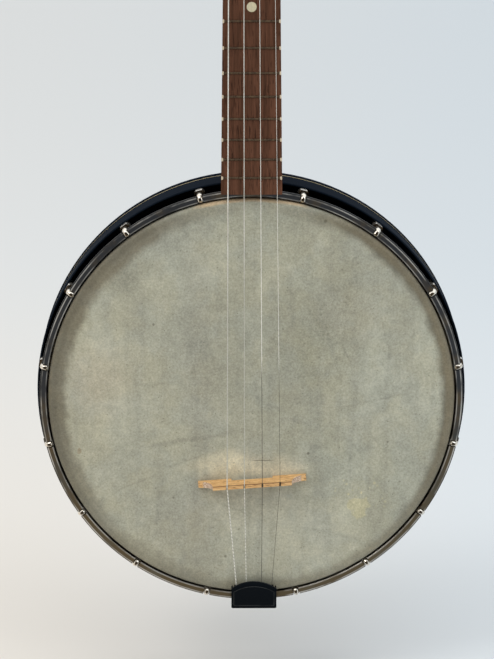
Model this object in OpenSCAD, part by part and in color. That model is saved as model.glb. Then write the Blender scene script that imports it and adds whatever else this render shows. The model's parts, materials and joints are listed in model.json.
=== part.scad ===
// Four-string banjo with a closed back.
// Millimetres. +Z runs up the neck, +Y backwards and +X to the right, looking at the skin.
// The origin is the centre of the flat back of the resonator.

/* [Pot] */
// Diameter of the skin where it turns down over the rim
head_d = 279.4; // [279.2:0.2:279.6]
// Depth from the top of the tension hoop to the flat back
pot_depth = 62; // [62:0.5:64]
// Radial thickness of the rim
rim_t = 9.45; // [9.3:0.05:9.5]
// Depth of the rim's bottom edge behind the hoop's top
rim_bottom = 46; // [46:0.1:46.2]
// Thickness of the skin
skin_t = 0.4; // [0.3:0.05:0.4]

/* [Hooks] */
// Diameter of a hook's rod
hook_d = 4; // [3.8:0.05:4]
// Depth of the end of a hook's rod behind the hoop's top
hook_end = 36; // [30:1:40]
// Distance across the flats of a hook nut
nut_af = 5.4; // [5.2:0.05:5.4]

/* [Neck] */
// Free length of a string, from the bridge to the nut
scale_length = 558.8; // [557.2:1.6:562]
// Number of frets
fret_count = 17; // [12:5:17]
// Distance from the last fret to the end of the fretboard at the pot
last_fret_gap = 11.3; // [11.3:0.2:11.5]
// Width of the fretboard at the pot
board_end_w = 41.2; // [40.8:0.4:41.6]
// Width of the fretboard at the nut
board_nut_w = 33.1; // [32.6:0.5:33.6]
// Angle by which the neck leans back from the skin
neck_pitch = 2; // [2:0.2:2.2]
// Further angle by which the headstock leans back
head_pitch = 12; // [11:0.5:13]

/* [Bridge and tailpiece] */
// Length of the bridge
bridge_l = 75; // [72:0.5:76]
// Height of the bridge over the skin
bridge_h = 15; // [15:0.1:15.5]
// Width of the tailpiece cover
cover_w = 31.6; // [31:0.1:32]

/* [Tuning pegs] */
// Diameter of a peg's post
post_d = 6; // [5.8:0.2:6]
// Diameter of a peg's button
button_d = 20; // [18:0.5:22]

/* [Hidden] */
$fn = 48;
round_fn = 180;
gap = 0.05;
eps = 0.01;

// Rim, skin and hoops. Depths are behind the hoop's top, heights are in front of it.
rim_r = head_d / 2 - gap;
rim_in_r = rim_r - rim_t;
skin_top = 1;
rod_r = 2.45;
rod_ring_r = head_d / 2 - 2.5;
rod_z = skin_top - skin_t - gap - rod_r;
rim_top = -(rod_z - rod_r - gap);
skin_edge = 15;
wall_in_r = head_d / 2 + 1.6;
wall_out_r = wall_in_r + 1.5;
flange_r = 146.1;
flange_t = 3;
wall_h = 12;
flesh_r = 1.25;
flesh_ring_r = head_d / 2 + skin_t + 0.1 + flesh_r;

// Hooks, nuts and shoes. Angles are from the neck, and each holds on the left and on the right.
hook_angles = [14, 36.2, 59, 81, 103, 124.7, 145.8, 167.4];
both_angles = concat(hook_angles, -hook_angles);
hook_r = hook_d / 2;
hook_ring_r = flange_r - 0.85;
hook_bend = 2.4;
hook_top = 1;
notch_floor = hook_top - hook_d - 0.02;
hook_tip_r = hook_ring_r - hook_bend - 1.25;
shoe_front = 10;
shoe_back = 17;
shoe_foot = 28;
shoe_out_r = 3.7;
shoe_flat_r = 148.2;
shoe_w = 8;
foot_r = head_d / 2 + 0.05;
foot_t = 2.65;
shoe_screw_z = -22;
nut_h = 4.5;

// Resonator
lip_depth = 20;
bowl_in_r = 148.1;
bowl_out_r = 149.2;
bead_r = 150;
back_t = 3.5;
stripe_depth = 50;
stripe_w = 1.6;
stripe_t = 0.5;
spacer_ring_r = rim_in_r + rim_t / 2;
spacer_r = 4.6;
back_screw_r = 2;

// Dowel stick and end pin
stick_w = 22;
stick_t = 20;
stick_mid = 34;
stick_top = 160;
pin_r = 2.5;
button_neck_r = 3.5;
button_head_r = 6;

// Neck, in its own frame: x across, y back from the face, z from the board's pot end
board_end = 143.5;
board_rise = 5;
board_t = 4.5;
bridge_z = -58;
nut_z = last_fret_gap + scale_length * (1 - pow(2, -fret_count / 12));
nut_t = 5;
neck_depth_pot = 17;
neck_depth_nut = 13.5;
heel_y = 53;
heel_end = 24;
heel_arc = heel_y - board_t - neck_depth_pot;
hoop_clear_r = flange_r + 1.4;
hoop_clear_depth = 16.5;
dot_frets = [5, 7, 10];
dot_r = 3.3;
head_y = 2.5;
head_z = nut_z + nut_t + 0.4;
head_t = 14;
head_run_in = 24;
overlay_t = 1.5;

// Strings, from the player's lowest (left) to the highest (right)
string_d = [0.76, 0.51, 0.36, 0.25];
string_bridge_x = [-16.9, -5, 7.4, 19.6];
string_tail_x = [-10.4, -3.6, 7, 14];
string_nut_pitch = 9;
string_nut_shift = -0.7;
string_nut_rise = 1.6;
bridge_x = 0.5;
bridge_turn = 4;
bridge_foot_t = 4.3;
bridge_ridge_t = 2.2;
bridge_ridge_l = 54.5;
bridge_recess = [28.6, 4];
bridge_notch = 0.8;

// Tailpiece, in the pot's frame
cover_x = 1.7;
cover_bottom = -149.2;
cover_shoulder = -134.9;
cover_peak = -129.7;
cover_front = 9.4;
cover_bevel = 1.2;
cover_bevel_in = 3.2;
cover_rim = 3.4;
cover_wall = 1;
cover_roof = 2;
strap_w = 20;
strap_t = 1.1;
strap_y = -147.4;
strap_end = 42;
plate_w = 27.4;
plate_y = -134;
plate_z = 3;
plate_t = 1.2;
anchor_y = -137.2;
anchor_r = 0.9;
anchor_top = 7.2;
hinge_y = -148.9;
hinge_z = 1.5;
hinge_r = 0.75;
knuckle_r = 1.35;
lug_w = 3.6;

// Tuning pegs, in the headstock's frame: pegs 1 and 4 are the near pair, 2 and 3 the far pair
peg_x = [-15.5, -18, 18, 15.5];
peg_z = [48, 98, 98, 48];
post_r = post_d / 2;
post_front = 16;
winding_y = -7.5;
bush_r = 4.25;
bush_flange_r = 6;
bush_flange_t = 1.6;
collar_r = 6;
collar_t = 2;
slab_back = overlay_t + head_t;
button_t = 7;
button_stem = 5;
screw_r = 1.25;

// Points on an arc about (cx, cy)
function arc(cx, cy, r, a0, a1, n = 8) =
    [for (i = [0:n]) [cx + r * cos(a0 + (a1 - a0) * i / n), cy + r * sin(a0 + (a1 - a0) * i / n)]];

// A point turned about the x axis, as rotate([a, 0, 0]) turns it
function turn_x(p, a) = [p.x, p.y * cos(a) - p.z * sin(a), p.y * sin(a) + p.z * cos(a)];

// From the pot's, the neck's and the headstock's frames to the whole object's
function from_pot(p) = [p.x, -pot_depth - p.z, p.y];
function from_neck(p) = turn_x(p, -neck_pitch) + [0, -pot_depth - board_rise, board_end];
function from_head(p) = from_neck(turn_x(p, -head_pitch) + [0, head_y, head_z]);

// Half the neck's width, and a fret's place, along the neck
function half_w(z) = (board_end_w + (board_nut_w - board_end_w) * z / nut_z) / 2;
function fret_z(n) = nut_z - scale_length * (1 - pow(2, -n / 12));

// The pot's frame: x across, y up the neck, z forwards from the top of the tension hoop
module pot()
    translate([0, -pot_depth, 0])
        rotate([90, 0, 0])
            children();

// The neck's frame and the headstock's frame
module neck_frame()
    translate([0, -pot_depth - board_rise, board_end])
        rotate([-neck_pitch, 0, 0])
            children();
module head_frame()
    neck_frame()
        translate([0, head_y, head_z])
            rotate([-head_pitch, 0, 0])
                children();

// Copies around the pot, turned from the neck's direction
module around(angles)
    for (a = angles)
        rotate([0, 0, -a])
            children();

// A cylinder along the pot's radius at the top, from one radius to another
module radial(from_r, to_r, r)
    translate([0, from_r, 0])
        rotate([-90, 0, 0])
            cylinder(r = r, h = to_r - from_r);

// A ring with a rectangular section, between two heights
module ring(in_r, out_r, low, high)
    rotate_extrude($fn = round_fn)
        translate([in_r, low])
            square([out_r - in_r, high - low]);

// A straight round rod from p to q
module rod(p, q, r) {
    v = q - p;
    translate(p)
        rotate([0, acos(v.z / norm(v)), atan2(v.y, v.x)])
            cylinder(r = r, h = norm(v), $fn = 24);
}

// A cylinder along the y axis of the neck's or headstock's frame
module post_along_y(y0, y1, r)
    translate([0, y0, 0])
        rotate([-90, 0, 0])
            cylinder(r = r, h = y1 - y0);

// ---- Pot ----

// Holes for the screws that hold the resonator
module at_spacers()
    around([45, 135, 225, 315])
        translate([0, spacer_ring_r, 0])
            children();

module at_brace_screws()
    around([-7.5, 7.5])
        translate([0, 0, -stick_mid])
            children();

module shell() color([0.07, 0.07, 0.08]) pot()
    difference() {
        ring(rim_in_r, rim_r, -rim_bottom, -rim_top);
        around(both_angles)
            translate([0, 0, shoe_screw_z])
                radial(rim_in_r - 5, rim_r + 5, 1.55);
        translate([-stick_w / 2 - gap, rim_in_r - 5, -stick_mid - stick_t / 2 - gap])
            cube([stick_w + 2 * gap, rim_t + 10, stick_t + 2 * gap]);
        translate([0, 0, -stick_mid])
            rotate([0, 0, 180])
                radial(rim_in_r - 5, rim_r + 5, pin_r + gap);
        at_spacers()
            translate([0, 0, -rim_bottom - 1])
                cylinder(r = back_screw_r + gap, h = 12);
        at_brace_screws()
            radial(rim_in_r - 5, rim_in_r + 5.3, 1.5 + gap);
    }

module tone_ring() color([0.75, 0.62, 0.35]) pot()
    translate([0, 0, rod_z])
        rotate_extrude($fn = round_fn)
            translate([rod_ring_r, 0])
                circle(r = rod_r);

module head_skin() color([0.72, 0.71, 0.62]) pot()
    rotate_extrude($fn = round_fn)
        polygon(concat(
            [[0, skin_top - skin_t], [rod_ring_r, skin_top - skin_t]],
            arc(rod_ring_r, skin_top - 2.9, 2.5, 90, 0),
            [[head_d / 2, -skin_edge], [head_d / 2 + skin_t, -skin_edge]],
            arc(rod_ring_r, skin_top - 2.9, 2.5 + skin_t, 0, 90),
            [[0, skin_top]]));

module flesh_hoop() color([0.6, 0.55, 0.45]) pot()
    translate([0, 0, -wall_h - gap - flesh_r])
        rotate_extrude($fn = round_fn)
            translate([flesh_ring_r, 0])
                circle(r = flesh_r);

module tension_hoop() color([0.3, 0.29, 0.27]) pot()
    difference() {
        rotate_extrude($fn = round_fn)
            polygon(concat(
                [[wall_in_r, -wall_h], [wall_out_r, -wall_h], [wall_out_r, -flange_t]],
                arc(flange_r - 1, 1 - flange_t, 1, -90, 0, 4),
                arc(flange_r - 1.2, -1.2, 1.2, 0, 90, 6),
                arc(wall_in_r + 0.5, -0.5, 0.5, 90, 180, 3)));
        around(both_angles)
            translate([-hook_r - 0.25, wall_in_r - 1, notch_floor])
                cube([hook_d + 0.5, 8, 5]);
    }

module hook() {
    bend_y = hook_ring_r - hook_bend;
    bend_z = hook_top - hook_r - hook_bend;
    translate([0, hook_ring_r, -hook_end])
        cylinder(r = hook_r, h = hook_end + bend_z);
    translate([0, bend_y, bend_z])
        rotate([90, 0, 90])
            rotate_extrude(angle = 90)
                translate([hook_bend, 0])
                    circle(r = hook_r);
    translate([0, bend_y, hook_top - hook_r])
        rotate([90, 0, 0])
            cylinder(r = hook_r, h = 0.45);
    translate([0, bend_y - 0.45, hook_top - hook_r])
        rotate([90, 0, 0])
            cylinder(r1 = hook_r, r2 = hook_r - 0.8, h = bend_y - 0.45 - hook_tip_r);
}

module hooks() color([0.78, 0.77, 0.74]) pot()
    around(both_angles)
        hook();

module shoe()
    difference() {
        union() {
            translate([0, hook_ring_r, -shoe_back])
                cylinder(r = shoe_out_r, h = shoe_back - shoe_front);
            translate([-shoe_w / 2, foot_r, -shoe_foot])
                cube([shoe_w, foot_t, shoe_foot - skin_edge - 0.3]);
            translate([-shoe_out_r, foot_r, -shoe_back])
                cube([2 * shoe_out_r, hook_ring_r - foot_r, shoe_back - skin_edge - 0.3]);
        }
        translate([0, hook_ring_r, -shoe_back - 1])
            cylinder(r = hook_r + 0.15, h = shoe_back);
        translate([-shoe_w, foot_r - 3, -skin_edge - 0.3])
            cube([2 * shoe_w, wall_out_r + 0.25 - foot_r + 3, 10]);
        translate([-shoe_w, shoe_flat_r, -shoe_foot])
            cube([2 * shoe_w, 5, shoe_foot]);
        translate([0, 0, shoe_screw_z])
            radial(foot_r - 1, foot_r + 5, 1.5 + gap);
    }

module shoes() color([0.7, 0.69, 0.66]) pot()
    around(both_angles)
        shoe();

module shoe_screws() color([0.6, 0.59, 0.55]) pot()
    around(both_angles)
        translate([0, 0, shoe_screw_z]) {
            radial(rim_in_r - gap - 0.02, foot_r + foot_t - 0.1, 1.5);
            radial(rim_in_r - 2.2, rim_in_r - gap, 3.2);
        }

module hook_nuts() color([0.5, 0.49, 0.46]) pot()
    around(both_angles)
        translate([0, hook_ring_r, -shoe_back - gap - nut_h])
            difference() {
                cylinder(r = nut_af / 2 / cos(30), h = nut_h, $fn = 6);
                translate([0, 0, -1])
                    cylinder(r = hook_r + gap, h = nut_h + 2);
            }

// ---- Back and inside ----

module dowel_stick() color([0.62, 0.45, 0.27]) pot()
    difference() {
        intersection() {
            translate([-stick_w / 2, -rim_in_r, -stick_mid - stick_t / 2])
                cube([stick_w, rim_in_r + stick_top, stick_t]);
            union() {
                cylinder(r = rim_in_r - gap, h = 200, center = true, $fn = round_fn);
                translate([-50, 0, -100])
                    cube([100, 200, 200]);
            }
        }
        translate([0, 0, -stick_mid])
            rotate([0, 0, 180])
                radial(111.9, 140, pin_r + gap);
    }

module neck_brace() color([0.55, 0.53, 0.5]) pot()
    difference() {
        intersection() {
            ring(rim_in_r - 3, rim_in_r - gap, -rim_bottom + gap, -shoe_back);
            translate([-23, 100, -60])
                cube([46, 50, 60]);
        }
        translate([-stick_w / 2 - gap, 100, -stick_mid - stick_t / 2 - gap])
            cube([stick_w + 2 * gap, 60, stick_t + 2 * gap]);
        at_brace_screws()
            radial(100, 150, 1.5 + gap);
    }

module brace_screws() color([0.72, 0.7, 0.66]) pot()
    at_brace_screws() {
        radial(rim_in_r - 4, rim_in_r + 5, 1.5);
        radial(rim_in_r - 5.5, rim_in_r - 3.3, 3);
    }

module resonator() color([0.03, 0.03, 0.035]) pot()
    difference() {
        rotate_extrude($fn = round_fn)
            polygon(concat(
                [[0, -pot_depth]],
                arc(bead_r - 5.5, 5.5 - pot_depth, 5.5, -90, 0),
                arc(bead_r - 2, -pot_depth + 8, 2, 0, 66, 4),
                [[bowl_out_r, -stripe_depth - stripe_w],
                 [bowl_out_r - stripe_t, -stripe_depth - stripe_w],
                 [bowl_out_r - stripe_t, -stripe_depth],
                 [bowl_out_r, -stripe_depth],
                 [bowl_out_r, -lip_depth - 0.4],
                 [bowl_out_r - 0.4, -lip_depth],
                 [bowl_in_r, -lip_depth]],
                arc(bowl_in_r - 3.6, back_t + 3.6 - pot_depth, 3.6, 0, -90),
                [[0, back_t - pot_depth]]));
        translate([-17.3, 130, -48.6])
            cube([34.6, 40, 40]);
        translate([0, 0, -stick_mid])
            rotate([0, 0, 180])
                radial(130, 160, pin_r + 0.4);
        at_spacers()
            back_hole(gap);
    }

// A countersunk screw, or with a clearance the hole for it
module back_hole(clear) {
    translate([0, 0, -pot_depth - clear / 2])
        cylinder(r1 = 4.2 + clear, r2 = back_screw_r + clear, h = 2.2);
    translate([0, 0, -pot_depth - clear / 2])
        cylinder(r = back_screw_r + clear, h = 26);
}

module resonator_screws() color([0.6, 0.58, 0.54]) pot()
    at_spacers()
        back_hole(0);

module pinstripe() color([0.72, 0.6, 0.3]) pot()
    ring(bowl_out_r - stripe_t + 0.02, bowl_out_r, -stripe_depth - stripe_w + gap, -stripe_depth - gap);

module spacers() color([0.25, 0.2, 0.15]) pot()
    at_spacers()
        translate([0, 0, back_t - pot_depth + gap])
            difference() {
                cylinder(r = spacer_r, h = pot_depth - back_t - rim_bottom - 2 * gap);
                translate([0, 0, -1])
                    cylinder(r = back_screw_r + 0.1, h = 20);
            }

module end_pin() color([0.7, 0.69, 0.66]) pot()
    translate([0, 0, -stick_mid])
        rotate([0, 0, 180]) {
            radial(112, bowl_out_r + 0.2, pin_r);
            radial(bowl_out_r + 0.15, bowl_out_r + 1.6, button_head_r);
            radial(bowl_out_r + 1.5, 155.4, button_neck_r);
            radial(155.3, 157, button_head_r);
        }

module tail_spacer() color([0.45, 0.44, 0.42]) pot()
    translate([0, 0, -stick_mid])
        rotate([0, 0, 180])
            difference() {
                radial(foot_r, -strap_y - strap_t - gap, 6.5);
                radial(100, 160, pin_r + gap);
            }

// ---- Tailpiece ----

module lug_row(x0, x1, r)
    translate([x0, hinge_y, hinge_z])
        rotate([0, 90, 0])
            cylinder(r = r, h = x1 - x0);

module tailpiece_base() color([0.12, 0.12, 0.12]) pot() {
    left = cover_x - plate_w / 2;
    right = cover_x + plate_w / 2;
    difference() {
        union() {
            translate([-strap_w / 2, strap_y, -strap_end])
                cube([strap_w, strap_t, strap_end]);
            translate([left, strap_y, -eps])
                cube([plate_w, strap_t, plate_z + plate_t + eps]);
            translate([left, strap_y, plate_z])
                cube([plate_w, plate_y - strap_y, plate_t]);
            for (x = [left, right - lug_w]) {
                lug_row(x, x + lug_w, knuckle_r);
                translate([x, hinge_y, hinge_z - knuckle_r])
                    cube([lug_w, strap_y - hinge_y + eps, 2 * knuckle_r]);
            }
            for (x = string_tail_x)
                translate([x, anchor_y, plate_z])
                    cylinder(r = anchor_r, h = anchor_top - plate_z);
        }
        lug_row(left - 1, right + 1, hinge_r + 0.02);
        translate([0, 0, -stick_mid])
            rotate([0, 0, 180])
                radial(140, 150, pin_r + gap);
    }
}

module hinge_pin() color([0.6, 0.6, 0.58]) pot()
    lug_row(cover_x - plate_w / 2, cover_x + plate_w / 2, hinge_r);

// Plan of the cover, with straight sides and an arched top edge, pulled in at the arch and sides
module cover_plan(inset_top, inset_side) {
    half = cover_w / 2 - inset_side;
    shoulder = cover_shoulder - inset_top;
    peak = cover_peak - inset_top;
    rise = peak - shoulder;
    r = (half * half + rise * rise) / (2 * rise);
    a = asin(half / r);
    translate([cover_x, 0])
        polygon(concat(
            [[half, cover_bottom], [-half, cover_bottom]],
            arc(0, peak - r, r, 90 + a, 90 - a, 16)));
}

module tailpiece_cover() color([0.05, 0.05, 0.05]) pot() {
    left = cover_x - plate_w / 2;
    right = cover_x + plate_w / 2;
    difference() {
        union() {
            translate([0, 0, cover_rim])
                linear_extrude(cover_front - cover_bevel - cover_rim)
                    cover_plan(0, 0);
            hull() {
                translate([0, 0, cover_front - cover_bevel])
                    linear_extrude(eps)
                        cover_plan(0, 0);
                translate([0, 0, cover_front - eps])
                    linear_extrude(eps)
                        cover_plan(cover_bevel_in, 1);
            }
            translate([left + lug_w + 0.3, cover_bottom, hinge_z])
                cube([plate_w - 2 * lug_w - 0.6, cover_wall, cover_rim - hinge_z + 1]);
            lug_row(left + lug_w + 0.3, right - lug_w - 0.3, knuckle_r);
        }
        translate([cover_x - cover_w / 2 + cover_wall, cover_bottom + cover_wall, cover_rim - 1])
            cube([cover_w - 2 * cover_wall, 40, cover_front - cover_roof - cover_rim + 1]);
        lug_row(left - 1, right + 1, hinge_r + gap);
    }
}

// ---- Bridge ----

// Height of the bridge's ridge, and the place of a string's centre in its notch
function bridge_top() = skin_top + 0.03 + bridge_h;
function bridge_point(i) =
    [string_bridge_x[i],
     bridge_z + (string_bridge_x[i] - bridge_x) * tan(bridge_turn),
     bridge_top() - bridge_notch + 0.25 + string_d[i] / 2];

module bridge() color([0.86, 0.69, 0.45]) pot()
    difference() {
        translate([bridge_x, bridge_z, skin_top + 0.03])
            rotate([0, 0, bridge_turn])
                intersection() {
                    bridge_front();
                    bridge_side();
                }
        for (i = [0:3])
            translate(bridge_point(i) - [string_d[i] / 2 + 0.08, 10, string_d[i] / 2 + 0.25])
                cube([string_d[i] + 0.16, 20, 5]);
    }

// Front outline: scalloped ends, flat ridge and two long feet with a flat recess between them
module bridge_front() {
    half = bridge_l / 2;
    ridge = bridge_ridge_l / 2;
    translate([0, 20, 0])
        rotate([90, 0, 0])
            linear_extrude(40)
                difference() {
                    polygon(concat(
                        [[-half, 0], [half, 0], [half, 2.6]],
                        arc(half + 0.6, 13.2, 10.6, 267, 180, 8),
                        [[ridge, bridge_h], [-ridge, bridge_h]],
                        arc(-half - 0.6, 13.2, 10.6, 0, -87, 8),
                        [[-half, 2.6]]));
                    translate([-bridge_recess.x / 2, -1])
                        square([bridge_recess.x, bridge_recess.y + 1]);
                }
}

// Side outline: thick at the feet, thin at the ridge, upright towards the tail
module bridge_side()
    rotate([90, 0, 90])
        translate([0, 0, -60])
            linear_extrude(120)
                polygon([[-bridge_foot_t / 2, 0], [bridge_foot_t / 2, 0], [bridge_foot_t / 2, 2.5],
                         [bridge_ridge_t / 2, bridge_h], [-bridge_ridge_t / 2, bridge_h],
                         [-bridge_foot_t / 2, 4]]);

// ---- Neck ----

// Plate in the neck's frame, as wide as the board, from y0 to y1 and from z0 to z1
module board_plate(y0, y1, z0, z1)
    translate([0, y1, 0])
        rotate([90, 0, 0])
            linear_extrude(y1 - y0)
                polygon([[-half_w(z0), z0], [half_w(z0), z0], [half_w(z1), z1], [-half_w(z1), z1]]);

// Thin slice of the rounded neck below the board
module neck_slice(z, depth)
    translate([0, board_t, z])
        linear_extrude(eps)
            polygon([for (a = [0:12:180]) [half_w(z) * cos(a), depth * pow(sin(a), 0.85)]]);

module heel_side()
    rotate([90, 0, 90])
        translate([0, 0, -30])
            linear_extrude(60)
                polygon(concat(
                    [[board_t, -6], [board_t, heel_end + heel_arc]],
                    [for (p = arc(heel_end + heel_arc, heel_y, heel_arc, -90, -180, 12)) [p.y, p.x]],
                    [[heel_y, -6]]));

module headstock_outline() {
    right = concat(
        [[16.4, 0], [17, 5]],
        arc(29.5, 9, 12.4, 180, 122, 6),
        arc(24, 27.2, 3, 25, 0, 2),
        arc(77, 78, 50, 190, 170, 10),
        arc(26, 121, 7, 0, 90, 6),
        arc(13, 150, 23.3, -75, -125, 8));
    left = [for (i = [len(right) - 1:-1:0]) [-right[i].x, right[i].y]];
    polygon(concat([for (p = right) if (p.x > 0.5) p], [for (p = left) if (p.x < -0.5) p]));
}

module headstock_slab(y0, y1, z0 = 0)
    intersection() {
        translate([0, y1, 0])
            rotate([90, 0, 0])
                linear_extrude(y1 - y0)
                    headstock_outline();
        translate([-60, -60, z0])
            cube([120, 120, 200]);
    }

module neck() color([0.3, 0.16, 0.1])
    difference() {
        union() {
            neck_frame() {
                hull() {
                    neck_slice(1, neck_depth_pot);
                    neck_slice(nut_z + nut_t, neck_depth_nut);
                }
                intersection() {
                    heel_side();
                    hull() {
                        translate([0, 0, -6])
                            linear_extrude(heel_end)
                                polygon([[-20.2, board_t], [20.2, board_t], [17, 22], [11, heel_y],
                                         [-11, heel_y], [-17, 22]]);
                        neck_slice(heel_end + heel_arc + 12, neck_depth_pot);
                    }
                }
                hull() {
                    neck_slice(nut_z - head_run_in, neck_depth_nut);
                    translate([0, head_y, head_z])
                        rotate([-head_pitch, 0, 0])
                            translate([-13, overlay_t + 1, 0])
                                cube([26, head_t - 1.6, 14]);
                }
            }
            head_frame()
                headstock_slab(overlay_t, slab_back);
        }
        pot() {
            cylinder(r = head_d / 2 + gap, h = 160, center = true, $fn = round_fn);
            translate([0, 0, -hoop_clear_depth])
                cylinder(r = hoop_clear_r, h = 60, $fn = round_fn);
            translate([-stick_w / 2 - gap, 100, -stick_mid - stick_t / 2 - gap])
                cube([stick_w + 2 * gap, stick_top - 100 + gap, stick_t + 2 * gap]);
        }
        neck_frame()
            translate([-50, board_t - 20, nut_z - 40])
                cube([100, 20, 40 + nut_t]);
        at_pegs()
            post_along_y(-5, 30, bush_r + gap);
    }

module fretboard() color([0.3, 0.18, 0.14]) neck_frame()
    difference() {
        board_plate(0, board_t - 0.02, 0, nut_z - 0.02);
        for (n = [1:fret_count])
            translate([-40, -1, fret_z(n) - 0.32])
                cube([80, 2.7, 0.64]);
        for (n = dot_frets)
            translate([0, 0, (fret_z(n) + fret_z(n - 1)) / 2])
                post_along_y(-1, 1.02, dot_r + 0.02);
    }

module frets() color([0.7, 0.62, 0.42]) neck_frame()
    for (n = [1:fret_count]) {
        z = fret_z(n);
        length = 2 * half_w(z) - 0.1;
        intersection() {
            translate([-length / 2, -0.05, z])
                rotate([0, 90, 0])
                    cylinder(r = 0.75, h = length);
            translate([-length / 2 - 1, -3.01, z - 5])
                cube([length + 2, 3, 10]);
        }
        translate([-length / 2, -0.02, z - 0.3])
            cube([length, 1.6, 0.6]);
    }

module position_dots() color([0.9, 0.87, 0.75]) neck_frame()
    for (n = dot_frets)
        translate([0, 0, (fret_z(n) + fret_z(n - 1)) / 2])
            post_along_y(0, 1, dot_r);

module nut() color([0.9, 0.86, 0.75]) neck_frame()
    difference() {
        board_plate(-string_nut_rise - 0.6, board_t - 0.02, nut_z, nut_z + nut_t);
        for (i = [0:3])
            translate(nut_point(i))
                rotate([-atan2(peg_end(i).y - nut_point(i).y, peg_end(i).z - nut_point(i).z), 0, 0])
                    translate([-string_d[i] / 2 - 0.3, -5, -3])
                        cube([string_d[i] + 0.6, 5 + string_d[i] / 2 + 0.04, 12]);
    }

module headstock_overlay() color([0.04, 0.04, 0.045]) head_frame()
    difference() {
        headstock_slab(0, overlay_t - 0.02, 1);
        for (i = [0:3])
            translate([peg_x[i], 0, peg_z[i]])
                post_along_y(-5, 30, bush_r + gap);
    }

// ---- Strings ----

// Where a string crosses the nut, and where it reaches its peg, in the neck's frame
function nut_point(i) =
    [(i - 1.5) * string_nut_pitch + string_nut_shift, -string_nut_rise - string_d[i] / 2, nut_z];
function peg_side(i) = i < 2 ? 1 : -1;
function peg_touch(i) =
    [peg_x[i] + peg_side(i) * (post_r + string_d[i] / 2 + 0.1), winding_y, peg_z[i]];
function peg_end(i) = turn_x(peg_touch(i), -head_pitch) + [0, head_y, head_z];
function tail_point(i) = [string_tail_x[i], anchor_y + anchor_r + 0.15 + string_d[i] / 2, 5.6];

module string(i) {
    r = string_d[i] / 2;
    tail = from_pot(tail_point(i));
    top = from_pot(bridge_point(i));
    at_nut = from_neck(nut_point(i));
    end = from_neck(peg_end(i));
    rod(tail, top, r);
    rod(top, at_nut, r);
    rod(at_nut, end, r);
    for (p = [top, at_nut])
        translate(p)
            sphere(r = r + 0.02, $fn = 24);
    pot()
        translate([string_tail_x[i], anchor_y, 5.6])
            rotate_extrude()
                translate([anchor_r + 0.15 + r, 0])
                    circle(r = r, $fn = 24);
}

module string_1() color([0.75, 0.75, 0.73]) string(3);
module string_2() color([0.75, 0.75, 0.73]) string(2);
module string_3() color([0.75, 0.75, 0.73]) string(1);
module string_4() color([0.75, 0.75, 0.73]) string(0);

// ---- Tuning pegs ----

module at_peg(i)
    head_frame()
        translate([peg_x[i], 0, peg_z[i]])
            children();

module at_pegs()
    for (i = [0:3])
        at_peg(i)
            children();

module peg_bushes() color([0.72, 0.71, 0.68]) at_pegs()
    difference() {
        union() {
            post_along_y(-bush_flange_t, -0.02, bush_flange_r);
            post_along_y(-0.5, slab_back - 0.5, bush_r);
        }
        post_along_y(-5, 30, post_r + gap);
    }

module peg_collars() color([0.72, 0.71, 0.68]) at_pegs()
    difference() {
        post_along_y(slab_back + 0.02, slab_back + collar_t, collar_r);
        post_along_y(-5, 30, post_r + gap);
    }

module peg_post(i) color([0.8, 0.79, 0.76]) at_peg(i)
    difference() {
        union() {
            post_along_y(-post_front + 1, slab_back + collar_t + 4, post_r);
            post_along_y(-post_front, -post_front + 1.2, post_r + 0.8);
        }
        post_along_y(slab_back + collar_t - 4, slab_back + 20, screw_r + gap);
        translate([0, -post_front + 4, -10])
            cylinder(r = 0.7, h = 20);
    }

module peg_button(i) color([0.88, 0.84, 0.72]) at_peg(i) {
    base = slab_back + collar_t + 0.3;
    middle = base + button_stem + button_d / 2 - 1;
    difference() {
        union() {
            post_along_y(base, base + button_stem + 1, 4.6);
            translate([-button_t / 2, middle, 0])
                rotate([0, 90, 0])
                    cylinder(r = button_d / 2, h = button_t);
        }
        post_along_y(base - 1, slab_back + collar_t + 4 + gap, post_r + 0.02);
        post_along_y(base, base + 50, screw_r + gap);
        post_along_y(middle + button_d / 2 - 1.6, base + 50, 2.6);
    }
}

module peg_screw(i) color([0.8, 0.79, 0.76]) at_peg(i) {
    head = slab_back + collar_t + 0.3 + button_stem + button_d - 1 - 1.55;
    post_along_y(slab_back + collar_t - 3, head + 0.2, screw_r);
    difference() {
        post_along_y(head, head + 1.5, 2.5);
        translate([-3, head + 0.9, -0.35])
            cube([6, 2, 0.7]);
    }
}

// Turns of string on the post, laid side by side below the turn that the string comes in on
module winding(i) color([0.75, 0.75, 0.73]) at_peg(i) {
    turns = 5;
    d = string_d[i];
    for (k = [1:turns])
        translate([0, winding_y + gap + d * k, 0])
            rotate([-90, 0, 0])
                rotate_extrude()
                    translate([post_r + gap / 2 + d / 2, 0])
                        circle(r = d / 2 + 0.01, $fn = 24);
}

module peg_post_1() peg_post(3);
module peg_post_2() peg_post(2);
module peg_post_3() peg_post(1);
module peg_post_4() peg_post(0);
module peg_button_1() peg_button(3);
module peg_button_2() peg_button(2);
module peg_button_3() peg_button(1);
module peg_button_4() peg_button(0);
module peg_screw_1() peg_screw(3);
module peg_screw_2() peg_screw(2);
module peg_screw_3() peg_screw(1);
module peg_screw_4() peg_screw(0);
module winding_1() winding(3);
module winding_2() winding(2);
module winding_3() winding(1);
module winding_4() winding(0);

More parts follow.
